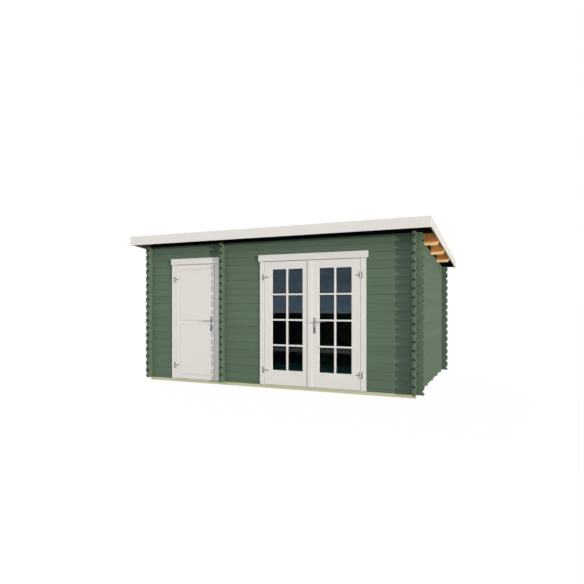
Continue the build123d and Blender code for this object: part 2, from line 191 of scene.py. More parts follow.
def wood_pattern(tree, along, grain, ring, knot_cell, knot_size):
    """Grain lines, growth rings and knots of a board whose length runs along an axis (0, 1 or 2).

    Returns the grain, 0 to 1, a mask that is 1 in the knots, and the board's tint. Every board has
    its own offset, from that tint, so that no pattern runs on from one board to the next."""
    place = add(tree, "ShaderNodeTexCoord").outputs["Object"]
    tint = add(tree, "ShaderNodeAttribute", attribute_name="board_tint").outputs["Fac"]
    jump = add(tree, "ShaderNodeVectorMath", {0: BOARD_JUMP, "Scale": tint}, operation="SCALE")
    moved = add(tree, "ShaderNodeVectorMath", {0: place, 1: jump.outputs[0]}, operation="ADD").outputs[0]
    stretch = [1 / grain] * 3
    stretch[along] = 1 / (GRAIN_STRETCH * grain)
    lines = add(tree, "ShaderNodeMapping", {"Vector": moved, "Scale": stretch}).outputs[0]
    fine = add(tree, "ShaderNodeTexNoise", {"Vector": lines, "Scale": 1.0, "Detail": 4.0, "Roughness": 0.6})
    ring_stretch = [1 / ring] * 3
    ring_stretch[along] = 1 / (RING_STRETCH * ring)
    rings = add(tree, "ShaderNodeMapping", {"Vector": moved, "Scale": ring_stretch}).outputs[0]
    wave = add(
        tree, "ShaderNodeTexNoise",
        {"Vector": rings, "Scale": 0.35, "Detail": 1.0, "Roughness": 0.4, "Distortion": 0.6})
    rings_across = 9.0
    many = add(tree, "ShaderNodeMath", {0: wave.outputs[0], 1: rings_across}, operation="MULTIPLY")
    bands = add(tree, "ShaderNodeMath", {0: many.outputs[0], 1: 1.0}, operation="PINGPONG")
    knot_stretch = [1 / knot_cell] * 3
    knot_stretch[along] = KNOTS_ALONG / knot_cell
    spots = add(tree, "ShaderNodeMapping", {"Vector": moved, "Scale": knot_stretch}).outputs[0]
    cells = add(tree, "ShaderNodeTexVoronoi", {"Vector": spots, "Scale": 1.0, "Randomness": 1.0})
    edge = knot_size / knot_cell / 2
    knots = add(
        tree, "ShaderNodeMapRange",
        {"Value": cells.outputs["Distance"], "From Min": edge * 0.7, "From Max": edge,
         "To Min": 1.0, "To Max": 0.0}, interpolation_type="SMOOTHSTEP").outputs[0]
    grain_value = add(
        tree, "ShaderNodeMix", {"Factor": 0.45, "A": fine.outputs[0], "B": bands.outputs[0]},
        data_type="FLOAT").outputs[0]
    return grain_value, knots, tint


def board_tone(tree, pattern, dark, light, knot, spread):
    """Colour of a board from its pattern: from dark to light along the grain, with darker knots.
    Boards differ from one another by a spread either way."""
    grain, knots, tint = pattern
    streaks = add(
        tree, "ShaderNodeMix", {"Factor": grain, "A": dark, "B": light},
        data_type="RGBA").outputs["Result"]
    spotted = add(
        tree, "ShaderNodeMix", {"Factor": knots, "A": streaks, "B": knot},
        data_type="RGBA").outputs["Result"]
    level = add(
        tree, "ShaderNodeMapRange",
        {"Value": tint, "To Min": 1 - spread, "To Max": 1 + spread}).outputs[0]
    return add(
        tree, "ShaderNodeVectorMath", {0: spotted, "Scale": level}, operation="SCALE").outputs[0]


# Matt stain reflects less at low angles than bare wood or paint
STAIN_GLOSS = 0.2


def stained_logs(name, along):
    """Spruce logs, planed and stained green: an opaque matt stain that still shows faint grain and
    a shadow of each knot. Logs differ a little in shade."""
    material, tree = new_material(name)
    stain = colours().stain
    pattern = wood_pattern(tree, along, 7 * MILLI, 26 * MILLI, 340 * MILLI, 32 * MILLI)
    grain = pattern[0]
    tone = board_tone(tree, pattern, shade(stain, 0.93), shade(stain, 1.07), shade(stain, 0.8), 0.045)
    rough = add(
        tree, "ShaderNodeMapRange", {"Value": grain, "To Min": 0.62, "To Max": 0.78}).outputs[0]
    bump = add(tree, "ShaderNodeBump", {"Strength": 0.25, "Distance": 0.6 * MILLI, "Height": grain})
    finish_surface(
        tree, Base_Color=tone, Roughness=rough, Normal=bump.outputs[0],
        Specular_IOR_Level=STAIN_GLOSS)
    return material


def end_grain(name, dark, light):
    """Sawn ends of the stained logs: the stain soaks in, so they are darker and dull, with rings.
    Growth rings of 4 mm are drawn about 38 mm wide so that they show. The darkest and lightest
    tones are parts of the stain's."""
    material, tree = new_material(name)
    stain = colours().stain
    place = add(tree, "ShaderNodeTexCoord").outputs["Object"]
    ring = 37.7 * MILLI
    rings = add(
        tree, "ShaderNodeTexWave",
        {"Vector": place, "Scale": 2 * pi / (20 * ring), "Distortion": 3.0, "Detail": 2.0},
        wave_type="RINGS", rings_direction="SPHERICAL")
    fine = add(tree, "ShaderNodeTexNoise", {"Vector": place, "Scale": 1 / (4 * MILLI), "Detail": 2.0})
    mixed = add(
        tree, "ShaderNodeMix", {"Factor": 0.5, "A": rings.outputs[1], "B": fine.outputs[0]},
        data_type="FLOAT").outputs[0]
    tone = add(
        tree, "ShaderNodeMix", {"Factor": mixed, "A": shade(stain, dark), "B": shade(stain, light)},
        data_type="RGBA").outputs["Result"]
    bump = add(tree, "ShaderNodeBump", {"Strength": 0.3, "Distance": 0.5 * MILLI, "Height": mixed})
    finish_surface(
        tree, Base_Color=tone, Roughness=0.8, Normal=bump.outputs[0], Specular_IOR_Level=STAIN_GLOSS)
    return material


def clear_wood(name, colour, along, contrast, knot_tone, ring, roughness, gloss=0.5):
    """Planed softwood without paint: grain lines, growth rings and reddish knots show plainly."""
    material, tree = new_material(name)
    pattern = wood_pattern(tree, along, 5 * MILLI, ring, 300 * MILLI, 30 * MILLI)
    dark, light = shade(colour, 1 - contrast), shade(colour, 1 + contrast)
    tone = board_tone(tree, pattern, dark, light, linear(knot_tone), 0.1)
    bump = add(tree, "ShaderNodeBump", {"Strength": 0.3, "Distance": 0.5 * MILLI, "Height": pattern[0]})
    finish_surface(
        tree, Base_Color=tone, Roughness=roughness, Normal=bump.outputs[0],
        Specular_IOR_Level=gloss)
    return material


def white_paint(name, along):
    """Opaque white paint brushed on planed wood: near even, with brush marks along the piece and a
    trace of the grain in its gloss."""
    material, tree = new_material(name)
    paint = colours().paint
    place = add(tree, "ShaderNodeTexCoord").outputs["Object"]
    brush = 2.5 * MILLI
    stroke = 150 * MILLI
    patch = 455 * MILLI
    stretch = [1 / brush] * 3
    stretch[along] = 1 / stroke
    lines = add(tree, "ShaderNodeMapping", {"Vector": place, "Scale": stretch}).outputs[0]
    marks = add(tree, "ShaderNodeTexNoise", {"Vector": lines, "Scale": 1.0, "Detail": 3.0}).outputs[0]
    broad = add(tree, "ShaderNodeTexNoise", {"Vector": place, "Scale": 1 / patch, "Detail": 2.0}).outputs[0]
    both = add(
        tree, "ShaderNodeMix", {"Factor": 0.6, "A": marks, "B": broad}, data_type="FLOAT").outputs[0]
    tone = add(
        tree, "ShaderNodeMix", {"Factor": both, "A": shade(paint, 0.965), "B": shade(paint, 1.03)},
        data_type="RGBA").outputs["Result"]
    rough = add(
        tree, "ShaderNodeMapRange",
        {"Value": marks, "From Min": 0.3, "From Max": 0.7, "To Min": 0.38, "To Max": 0.5}).outputs[0]
    bump = add(tree, "ShaderNodeBump", {"Strength": 0.2, "Distance": 0.25 * MILLI, "Height": marks})
    finish_surface(tree, Base_Color=tone, Roughness=rough, Normal=bump.outputs[0])
    return material


def mineral_felt(name):
    """Bitumen roofing felt faced with crushed slate: a dull, speckled dark grey. The 1.5 mm grains
    are drawn at 4 mm so that they show."""
    material, tree = new_material(name)
    felt = colours().felt
    place = add(tree, "ShaderNodeTexCoord").outputs["Object"]
    slate = 4 * MILLI
    patch = 555 * MILLI
    grains = add(tree, "ShaderNodeTexVoronoi", {"Vector": place, "Scale": 1 / slate})
    broad = add(tree, "ShaderNodeTexNoise", {"Vector": place, "Scale": 1 / patch, "Detail": 4.0}).outputs[0]
    level = add(
        tree, "ShaderNodeSeparateColor", {"Color": grains.outputs["Color"]}).outputs[0]
    mixed = add(
        tree, "ShaderNodeMix", {"Factor": 0.35, "A": level, "B": broad}, data_type="FLOAT").outputs[0]
    tone = add(
        tree, "ShaderNodeMix", {"Factor": mixed, "A": shade(felt, 0.55), "B": shade(felt, 1.5)},
        data_type="RGBA").outputs["Result"]
    bump = add(tree, "ShaderNodeBump", {"Strength": 0.5, "Distance": 0.8 * MILLI, "Height": level})
    finish_surface(tree, Base_Color=tone, Roughness=0.92, Normal=bump.outputs[0])
    return material


def window_glass(name):
    """Clear float glass, with the faint green that its thickness gives."""
    material, tree = new_material(name)
    finish_surface(
        tree, Base_Color=linear("#DDE8E6"), Roughness=0.0, IOR=1.5, Transmission_Weight=1.0)
    return material


def brush_seal(name):
    """Pale woven pile of a door seal: matt, with fine upright fibres."""
    material, tree = new_material(name)
    place = add(tree, "ShaderNodeTexCoord").outputs["Object"]
    fibre = 1.2 * MILLI
    stretch = (1 / fibre, 1 / fibre, 1 / (12 * fibre))
    lines = add(tree, "ShaderNodeMapping", {"Vector": place, "Scale": stretch}).outputs[0]
    pile = add(tree, "ShaderNodeTexNoise", {"Vector": lines, "Scale": 1.0, "Detail": 2.0}).outputs[0]
    tone = add(
        tree, "ShaderNodeMix", {"Factor": pile, "A": linear("#BFC1C4"), "B": linear("#DADCDE")},
        data_type="RGBA").outputs["Result"]
    bump = add(tree, "ShaderNodeBump", {"Strength": 0.4, "Distance": 0.3 * MILLI, "Height": pile})
    finish_surface(tree, Base_Color=tone, Roughness=0.9, Normal=bump.outputs[0])
    return material


def metal(name, colour, roughness, wear):
    """Metal with a fine, even finish: small cloudy changes in gloss and colour."""
    material, tree = new_material(name)
    place = add(tree, "ShaderNodeTexCoord").outputs["Object"]
    cloud = add(tree, "ShaderNodeTexNoise", {"Vector": place, "Scale": 1 / (12 * MILLI), "Detail": 3.0})
    tone = add(
        tree, "ShaderNodeMix",
        {"Factor": cloud.outputs[0], "A": shade(colour, 1 - wear), "B": shade(colour, 1 + wear / 2)},
        data_type="RGBA").outputs["Result"]
    rough = add(
        tree, "ShaderNodeMapRange",
        {"Value": cloud.outputs[0], "From Min": 0.3, "From Max": 0.7,
         "To Min": roughness - 0.06, "To Max": roughness + 0.06}).outputs[0]
    finish_surface(tree, Base_Color=tone, Metallic=1.0, Roughness=rough)
    return material


def make_materials():
    """All finishes, kept by name. Wood has one material for each direction of its length."""
    shown = colours()
    made = {
        "glass": window_glass("window glass, float"),
        "felt": mineral_felt("roofing felt, slate faced"),
        "zinc": metal("steel, zinc plated", shown.zinc, 0.45, 0.12),
        "steel": metal("steel, satin", shown.steel, 0.3, 0.08),
        "nickel": metal("brass, dull nickel plate", "#7C7D7C", 0.4, 0.15),
        "seal": brush_seal("polypropylene pile, pale grey"),
        "end": end_grain("spruce end grain, green stain", 0.84, 1.0),
        # Much darker end grain for the cuts that look down: painted shade under each log end
        "cut": end_grain("spruce end grain, green stain, painted shade", 0.45, 0.6),
    }
    for along, word in enumerate(("across", "front to back", "upright")):
        made["logs", along] = stained_logs(f"spruce log, green stain, {word}", along)
        made["paint", along] = white_paint(f"softwood, white paint, {word}", along)
    made["pine"] = clear_wood(
        "pine, planed, untreated", shown.pine, 0, 0.3, "#7A3A14", 22 * MILLI, 0.6)
    made["pine_upright"] = clear_wood(
        "pine, planed, upright", shown.pine, 2, 0.2, "#8A4A1E", 22 * MILLI, 0.6)
    # Paler copy of the pine for the purlins' lower bevels: painted light on the faces that look down
    made["bevel"] = clear_wood(
        "pine, bevel in painted light", "#FFE0AC", 0, 0.06, "#C98A50", 22 * MILLI, 0.5)
    made["treated"] = clear_wood(
        "pine, pressure treated, sawn", shown.treated, 0, 0.08, "#9A9460", 20 * MILLI, 0.75)
    made["boards"] = clear_wood(
        "spruce boards, planed", shown.boards, 1, 0.12, "#7A4B28", 18 * MILLI, 0.6)
    # Near black boards: painted shade under the roof and in the key slots
    made["dark"] = clear_wood(
        "boards, near black, painted shade", shown.dark, 1, 0.2, "#040605", 18 * MILLI, 0.9, 0.12)
    return made


MATERIALS = {}


# Meshes


def new_piece(name, mesh, body, materials, replaces=()):
    """Object for a finished mesh, riding on a body, with its materials."""
    mesh.materials.clear()
    for material in materials:
        mesh.materials.append(material)
    piece = bpy.data.objects.new(name, mesh)
    bpy.context.scene.collection.objects.link(piece)
    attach(piece, body)
    if replaces:
        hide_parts(*replaces)
    return piece


def choose_materials(piece, choose):
    """Set each face's material by a function of its normal."""
    for face in piece.data.polygons:
        face.material_index = choose(face.normal)


def flat_faced(node):
    """Copy of a CAD node's mesh as a bmesh, its loose triangles merged into flat faces."""
    bm = bmesh.new()
    bm.from_mesh(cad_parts[node].data)
    for layer in list(bm.loops.layers.uv):
        bm.loops.layers.uv.remove(layer)
    bmesh.ops.remove_doubles(bm, verts=bm.verts, dist=MERGE)
    bmesh.ops.dissolve_limit(bm, angle_limit=radians(0.5), verts=bm.verts, edges=bm.edges)
    return bm


def ease(bm, width, steps, angle=radians(25)):
    """Bevel every arris sharper than an angle."""
    sharp = [e for e in bm.edges if len(e.link_faces) == 2 and e.calc_face_angle(0) > angle]
    bmesh.ops.bevel(
        bm, geom=sharp, offset=width, segments=steps, profile=0.5, affect="EDGES",
        clamp_overlap=True)


def cut_end_corners(bm, along, size):
    """Cut off the upper corners of the free ends of logs that run along an axis."""
    reach = max(v.co[along] for v in bm.verts)
    corners = []
    for edge in bm.edges:
        at_end = all(abs(abs(v.co[along]) - reach) < MILLI for v in edge.verts)
        on_top = any(face.normal.z > 0.9 for face in edge.link_faces)
        if at_end and on_top:
            corners.append(edge)
    bmesh.ops.bevel(
        bm, geom=corners, offset=size, segments=1, profile=0.5, affect="EDGES", clamp_overlap=True)


def islands(bm):
    """Lists of faces that hang together."""
    seen = set()
    for first in bm.faces:
        if first in seen:
            continue
        group, queue = [], [first]
        seen.add(first)
        while queue:
            face = queue.pop()
            group.append(face)
            for edge in face.edges:
                for other in edge.link_faces:
                    if other not in seen:
                        seen.add(other)
                        queue.append(other)
        yield group


def tint_islands(bm, seed):
    """Give the faces of each board or log one random tint, 0 to 1, worked out from its place."""
    layer = bm.faces.layers.float.new("board_tint")
    for group in islands(bm):
        low = [min(v.co[axis] for f in group for v in f.verts) for axis in range(3)]
        mixed = sum(round(part / MILLI) * factor for part, factor in zip(low, (37, 101, 59))) + seed
        tint = (mixed * 0.618034) % 1.0
        for face in group:
            face[layer] = tint


def to_mesh(bm, name, smooth_angle=None):
    """Mesh from a bmesh, flat shaded unless an angle is given below which edges are smooth."""
    bmesh.ops.triangulate(bm, faces=[f for f in bm.faces if len(f.verts) > 4])
    mesh = bpy.data.meshes.new(name)
    bm.to_mesh(mesh)
    bm.free()
    if smooth_angle:
        mesh.shade_smooth()
        mesh.set_sharp_from_angle(angle=smooth_angle)
    return mesh


def joined(parts, name):
    """One bmesh from several."""
    whole = bmesh.new()
    for part in parts:
        mesh = bpy.data.meshes.new(name)
        part.to_mesh(mesh)
        part.free()
        whole.from_mesh(mesh)
        bpy.data.meshes.remove(mesh)
    return whole


def eased_piece(name, nodes, body, materials, width, steps=2, smooth=None, seed=1, shape=None):
    """Piece that stands for CAD nodes: the same solids with eased arrises. A function may shape
    them first."""
    parts = []
    for node in nodes:
        bm = flat_faced(node)
        if shape:
            shape(bm)
        ease(bm, width, steps)
        parts.append(bm)
    bm = joined(parts, name)
    tint_islands(bm, seed)
    mesh = to_mesh(bm, name, smooth)
    return new_piece(name, mesh, body, materials, nodes)


def box_between(low, high):
    """bmesh of the box between two corners."""
    bm = bmesh.new()
    bmesh.ops.create_cube(bm, size=1.0)
    size = [b - a for a, b in zip(low, high)]
    middle = [(a + b) / 2 for a, b in zip(low, high)]
    place = Matrix.Translation(middle) @ Matrix.Diagonal((*size, 1))
    bmesh.ops.transform(bm, matrix=place, verts=bm.verts)
    return bm


def board(low, high, width):
    """Board between two corners, with eased arrises."""
    bm = box_between(low, high)
    ease(bm, width, 2)
    return bm


def sorted_pair(one, other):
    """The lowest and highest corner of the box between two points."""
    return [min(a, b) for a, b in zip(one, other)], [max(a, b) for a, b in zip(one, other)]


def round_bar(foot, rise, radius, sides):
    """Short round bar that stands out along Y from a point, a little narrower at its top."""
    top = radius * 0.88
    bm = bmesh.new()
    bmesh.ops.create_cone(
        bm, cap_ends=True, segments=sides, radius1=radius, radius2=top, depth=abs(rise))
    turn = Matrix.Rotation(pi / 2 if rise < 0 else -pi / 2, 4, "X")
    middle = Matrix.Translation((foot[0], foot[1] + rise / 2, foot[2]))
    bmesh.ops.transform(bm, matrix=middle @ turn, verts=bm.verts)
    return bm


def frame_of_bead(low, high, face, depth, width, outward):
    """Bead around an opening, mitred: a quarter round that leans on the frame and falls to the
    face of the pane. The opening lies in X and Z; the bead starts at the pane's face."""
    steps = 4
    section = [(0.0, 0.0), (0.0, depth)]
    for step in range(1, steps + 1):
        turn = step / steps
        section.append((width * sqrt(1 - (1 - turn) ** 2), depth * (1 - turn)))
    bm = bmesh.new()
    corners = [(low[0], low[1], 1, 1), (high[0], low[1], -1, 1), (high[0], high[1], -1, -1),
               (low[0], high[1], 1, -1)]
    rings = []
    for x, z, sx, sz in corners:
        rings.append([
            bm.verts.new((x + sx * inset, face + outward * rise, z + sz * inset))
            for inset, rise in section])
    for place, ring in enumerate(rings):
        after = rings[(place + 1) % len(rings)]
        for k in range(len(ring)):
            n = (k + 1) % len(ring)
            bm.faces.new((ring[k], after[k], after[n], ring[n]))
    bmesh.ops.recalc_face_normals(bm, faces=bm.faces)
    return bm


# Geometry Nodes


def new_tree(name, inputs):
    """Geometry node tree with named inputs, given as (name, socket type, value)."""
    tree = bpy.data.node_groups.new(name, "GeometryNodeTree")
    tree.interface.new_socket("Geometry", in_out="INPUT", socket_type="NodeSocketGeometry")
    for label, kind, value in inputs:
        socket = tree.interface.new_socket(label, in_out="INPUT", socket_type=kind)
        if value is not None:
            socket.default_value = value
    tree.interface.new_socket("Geometry", in_out="OUTPUT", socket_type="NodeSocketGeometry")
    return tree


def end_tree(tree, geometry, material):
    """Realize the instances, set the material and pass the result on."""
    solid = add(tree, "GeometryNodeRealizeInstances", {"Geometry": geometry}).outputs[0]
    painted = add(tree, "GeometryNodeSetMaterial", {"Geometry": solid, "Material": material}).outputs[0]
    add(tree, "NodeGroupOutput", {"Geometry": painted})


def board_row_tree():
    """Row of boards along X, each a little different in tint."""
    tree = new_tree("Row of boards", [
        ("Boards", "NodeSocketInt", 10), ("Cover", "NodeSocketFloat", 0.095),
        ("Gap", "NodeSocketFloat", 0.001), ("Length", "NodeSocketFloat", 3.0),
        ("Thickness", "NodeSocketFloat", 0.019), ("Seed", "NodeSocketInt", 3),
        ("Material", "NodeSocketMaterial", None)])
    inputs = add(tree, "NodeGroupInput").outputs
    pitch = add(tree, "ShaderNodeCombineXYZ", {0: inputs["Cover"]}).outputs[0]
    line = add(tree, "GeometryNodeMeshLine", {"Count": inputs["Boards"], "Offset": pitch}).outputs[0]
    width = add(
        tree, "ShaderNodeMath", {0: inputs["Cover"], 1: inputs["Gap"]}, operation="SUBTRACT").outputs[0]
    size = add(
        tree, "ShaderNodeCombineXYZ",
        {0: width, 1: inputs["Length"], 2: inputs["Thickness"]}).outputs[0]
    cube = add(tree, "GeometryNodeMeshCube", {"Size": size}).outputs[0]
    row = add(tree, "GeometryNodeInstanceOnPoints", {"Points": line, "Instance": cube}).outputs[0]
    tint = add(
        tree, "FunctionNodeRandomValue", {"Seed": inputs["Seed"]}, data_type="FLOAT").outputs["Value"]
    named = add(
        tree, "GeometryNodeStoreNamedAttribute", {"Geometry": row, "Name": "board_tint", "Value": tint},
        data_type="FLOAT", domain="INSTANCE").outputs[0]
    end_tree(tree, named, inputs["Material"])
    return tree


def glazing_grid_tree():
    """Grid of glazing bars in X and Z, the same on both faces of the pane. The level bars are a
    little less deep, so that no two faces lie in one plane."""
    level_depth = 0.94
    tree = new_tree("Grid of glazing bars", [
        ("Columns", "NodeSocketInt", 2), ("Rows", "NodeSocketInt", 4),
        ("Width", "NodeSocketFloat", 0.5), ("Height", "NodeSocketFloat", 1.5),
        ("Bar", "NodeSocketFloat", 0.033), ("Depth", "NodeSocketFloat", 0.009),
        ("Face Gap", "NodeSocketFloat", 0.014), ("Material", "NodeSocketMaterial", None)])
    inputs = add(tree, "NodeGroupInput").outputs

    def maths(operation, a, b):
        return add(tree, "ShaderNodeMath", {0: a, 1: b}, operation=operation).outputs[0]

    def bars(count, span, axis, length, depth):
        """Bars that split a span into equal lights, centred on the pane."""
        pitch = maths("DIVIDE", span, count)
        first = maths("SUBTRACT", pitch, maths("DIVIDE", span, 2.0))
        start = add(tree, "ShaderNodeCombineXYZ", {axis: first}).outputs[0]
        step = add(tree, "ShaderNodeCombineXYZ", {axis: pitch}).outputs[0]
        number = maths("SUBTRACT", count, 1)
        line = add(
            tree, "GeometryNodeMeshLine",
            {"Count": number, "Start Location": start, "Offset": step}).outputs[0]
        size = add(
            tree, "ShaderNodeCombineXYZ", {axis: inputs["Bar"], 2 - axis: length, 1: depth}).outputs[0]
        cube = add(tree, "GeometryNodeMeshCube", {"Size": size}).outputs[0]
        return add(tree, "GeometryNodeInstanceOnPoints", {"Points": line, "Instance": cube}).outputs[0]

    thin = maths("MULTIPLY", inputs["Depth"], level_depth)
    upright = bars(inputs["Columns"], inputs["Width"], 0, inputs["Height"], inputs["Depth"])
    level = bars(inputs["Rows"], inputs["Height"], 2, inputs["Width"], thin)
    grid = add(tree, "GeometryNodeJoinGeometry", {"Geometry": upright})
    tree.links.new(level, grid.inputs["Geometry"])
    apart = maths("ADD", inputs["Face Gap"], inputs["Depth"])
    before = maths("MULTIPLY", apart, -0.5)
    start = add(tree, "ShaderNodeCombineXYZ", {1: before}).outputs[0]
    step = add(tree, "ShaderNodeCombineXYZ", {1: apart}).outputs[0]
    faces = add(
        tree, "GeometryNodeMeshLine", {"Count": 2, "Start Location": start, "Offset": step}).outputs[0]
    both = add(
        tree, "GeometryNodeInstanceOnPoints", {"Points": faces, "Instance": grid.outputs[0]}).outputs[0]
    end_tree(tree, both, inputs["Material"])
    return tree


def fastener_tree():
    """Round heads along the edges of a mesh of lines, all facing one way."""
    crown_share = 0.7
    tree = new_tree("Heads along lines", [
        ("Spacing", "NodeSocketFloat", 0.1), ("Radius", "NodeSocketFloat", 0.004),
        ("Rise", "NodeSocketFloat", 0.001), ("Facing", "NodeSocketVector", (0, 0, 1)),
        ("Material", "NodeSocketMaterial", None)])
    inputs = add(tree, "NodeGroupInput").outputs
    curve = add(tree, "GeometryNodeMeshToCurve", {"Mesh": inputs["Geometry"]}).outputs[0]
    points = add(
        tree, "GeometryNodeResampleCurve", {"Curve": curve, "Length": inputs["Spacing"]},
        mode="LENGTH").outputs[0]
    crown = add(
        tree, "ShaderNodeMath", {0: inputs["Radius"], 1: crown_share}, operation="MULTIPLY").outputs[0]
    head = add(
        tree, "GeometryNodeMeshCone",
        {"Vertices": 12, "Radius Top": crown, "Radius Bottom": inputs["Radius"],
         "Depth": inputs["Rise"]}).outputs[0]
    turn = add(
        tree, "FunctionNodeAlignRotationToVector", {"Vector": inputs["Facing"]}, axis="Z").outputs[0]
    heads = add(
        tree, "GeometryNodeInstanceOnPoints",
        {"Points": points, "Instance": head, "Rotation": turn}).outputs[0]
    end_tree(tree, heads, inputs["Material"])
    return tree


TREES = {}


def grown(tree_name, source, values):
    """Mesh made by a geometry node tree from a source mesh and named input values."""
    makers = {"boards": board_row_tree, "grid": glazing_grid_tree, "heads": fastener_tree}
    if tree_name not in TREES:
        TREES[tree_name] = makers[tree_name]()
    tree = TREES[tree_name]
    holder = bpy.data.objects.new("holder", source or bpy.data.meshes.new("empty"))
    bpy.context.scene.collection.objects.link(holder)
    modifier = holder.modifiers.new("grow", "NODES")
    modifier.node_group = tree
    for item in tree.interface.items_tree:
        if item.in_out == "INPUT" and item.name in values:
            modifier[item.identifier] = values[item.name]
    holder.update_tag()
    bpy.context.view_layer.update()
    shown = holder.evaluated_get(bpy.context.evaluated_depsgraph_get())
    mesh = bpy.data.meshes.new_from_object(shown)
    holder.modifiers.remove(modifier)
    bpy.data.objects.remove(holder)
    return mesh


def lines_mesh(name, lines):
    """Mesh of loose edges, one for each pair of points."""
    points = [point for line in lines for point in line]
    edges = [(k, k + 1) for k in range(0, len(points), 2)]
    mesh = bpy.data.meshes.new(name)
    mesh.from_pydata(points, edges, [])
    return mesh


# Heads of the felt's clout nails and of the thin pins in the door trim
CLOUT_RADIUS = 0.005
PIN_RADIUS = 0.0032
PIN_RISE = 0.0012


def heads_piece(name, lines, body, material, spacing, radius, rise, facing):
    """Piece of nail or screw heads along lines."""
    mesh = grown("heads", lines_mesh(name, lines), {
        "Spacing": spacing, "Radius": radius, "Rise": rise, "Facing": facing, "Material": material})
    return new_piece(name, mesh, body, [material])


# Operators


class CabinOperator:
    """Shared by all operators: they take no part in undo and need nothing selected."""

    bl_options = {"REGISTER"}


def set_camera():
    """Level camera of the photograph, with the horizon put in its row by a shift."""
    data = bpy.data.cameras.new("camera")
    data.lens = CAMERA_LENS
    data.sensor_width = SENSOR
    data.shift_y = (HORIZON_ROW - PHOTO_SIDE / 2) / PHOTO_SIDE
    camera = bpy.data.objects.new("camera", data)
    camera.location = CAMERA_PLACE
    camera.rotation_euler = (pi / 2, 0, CAMERA_TURN)
    bpy.context.scene.collection.objects.link(camera)
    bpy.context.scene.camera = camera


# Sun from the right, about 68 degrees round from the front and 5 above the ground
SUN_ROUND = radians(68.2)
SUN_HEIGHT = radians(5.0)
SUN_STRENGTH = 2.65
SUN_SIZE = radians(0.6)

# Soft lamp behind the cabin, so that its back and left side aren't dull
BACK_ROUND = radians(215.0)
BACK_HEIGHT = radians(38.0)
BACK_STRENGTH = 1.1
BACK_SIZE = radians(25.0)

# Narrow warm lamp from the front right, on the purlins under the eaves
EAVES_LAMP = (3.6, -6.0, 1.3)
EAVES_AIM = (2.36, -0.15, 2.18)
EAVES_SPREAD = radians(6.8)
EAVES_POWER = 520.0

# Strength of the floor's own white where it is seen directly
FLOOR_GLOW = 1.1

# Sky light on matt surfaces: its middle level, and how much brighter it is from the front left
SKY_LEVEL = 0.70
SKY_SWING = 0.40
SKY_BRIGHT_SIDE = (-0.51, -0.86, 0.0)


def sun_lamp(name, around, height, strength, size, colour):
    """Sun lamp, its direction counted round from the front to the right, and up."""
    lamp = bpy.data.lights.new(name, "SUN")
    lamp.energy = strength
    lamp.angle = size
    lamp.color = linear(colour)[:3]
    sun = bpy.data.objects.new(name, lamp)
    level = cos(height)
    sun_from = Vector((sin(around) * level, -cos(around) * level, sin(height)))
    sun.rotation_euler = sun_from.to_track_quat("Z", "Y").to_euler()
    bpy.context.scene.collection.objects.link(sun)


def eaves_lamp():
    """Spot lamp aimed at the purlins' ends."""
    lamp = bpy.data.lights.new("eaves lamp", "SPOT")
    lamp.energy = EAVES_POWER
    lamp.spot_size = EAVES_SPREAD
    lamp.spot_blend = 0.5
    lamp.shadow_soft_size = 0.3
    lamp.color = linear("#FFEBD0")[:3]
    spot = bpy.data.objects.new("eaves lamp", lamp)
    spot.location = EAVES_LAMP
    spot.rotation_euler = (Vector(EAVES_LAMP) - Vector(EAVES_AIM)).to_track_quat("Z", "Y").to_euler()
    bpy.context.scene.collection.objects.link(spot)


def set_light():
    """Lamps and a soft sky. The camera sees the sky as white, matt and satin surfaces as pale and
    brighter on one side, and the sharp reflections in the panes as blue-grey with thin cloud."""
    sun_lamp("low sun", SUN_ROUND, SUN_HEIGHT, SUN_STRENGTH, SUN_SIZE, "#FFF6EA")
    sun_lamp("back lamp", BACK_ROUND, BACK_HEIGHT, BACK_STRENGTH, BACK_SIZE, "#FFFFFF")
    eaves_lamp()
    world = bpy.data.worlds.new("pale sky")
    world.use_nodes = True
    tree = world.node_tree
    tree.nodes.clear()
    seen = seen_directly(tree)
    direction = add(tree, "ShaderNodeTexCoord").outputs["Generated"]
    towards = add(
        tree, "ShaderNodeVectorMath", {0: direction, 1: SKY_BRIGHT_SIDE},
        operation="DOT_PRODUCT").outputs["Value"]
    soft = add(
        tree, "ShaderNodeMapRange",
        {"Value": towards, "From Min": -1.0, "To Min": SKY_LEVEL - SKY_SWING,
         "To Max": SKY_LEVEL + SKY_SWING}).outputs[0]
    strength = add(
        tree, "ShaderNodeMix", {"Factor": seen, "A": soft, "B": 1.0}, data_type="FLOAT").outputs[0]
    mirrored = mirrored_sky(tree, direction)
    sharp = add(tree, "ShaderNodeLightPath").outputs["Is Singular Ray"]
    colour = add(
        tree, "ShaderNodeMix", {"Factor": sharp, "A": linear("#FFFFFF"), "B": mirrored},
        data_type="RGBA").outputs["Result"]
    glow = add(tree, "ShaderNodeBackground", {"Color": colour, "Strength": strength})
    add(tree, "ShaderNodeOutputWorld", {"Surface": glow.outputs[0]})
    bpy.context.scene.world = world


def mirrored_sky(tree, direction):
    """Blue-grey sky for the panes, brighter low down, with thin drawn-out cloud."""
    low_sky = 0.08
    upward = add(tree, "ShaderNodeSeparateXYZ", {0: direction}).outputs["Z"]
    height = add(tree, "ShaderNodeMapRange", {"Value": upward, "From Max": low_sky}).outputs[0]
    tone = add(
        tree, "ShaderNodeMix",
        {"Factor": height, "A": linear("#BCD8F4"), "B": linear("#A0B3CE")},
        data_type="RGBA").outputs["Result"]
    flat = (2.5, 2.5, 30.0)
    drawn_out = add(tree, "ShaderNodeMapping", {"Vector": direction, "Scale": flat}).outputs[0]
    cloud = add(tree, "ShaderNodeTexNoise", {"Vector": drawn_out, "Scale": 1.6, "Detail": 3.0}).outputs[0]
    level = add(
        tree, "ShaderNodeMapRange",
        {"Value": cloud, "From Min": 0.3, "From Max": 0.7, "To Min": 1.1, "To Max": 1.5}).outputs[0]
    return add(tree, "ShaderNodeVectorMath", {0: tone, "Scale": level}, operation="SCALE").outputs[0]


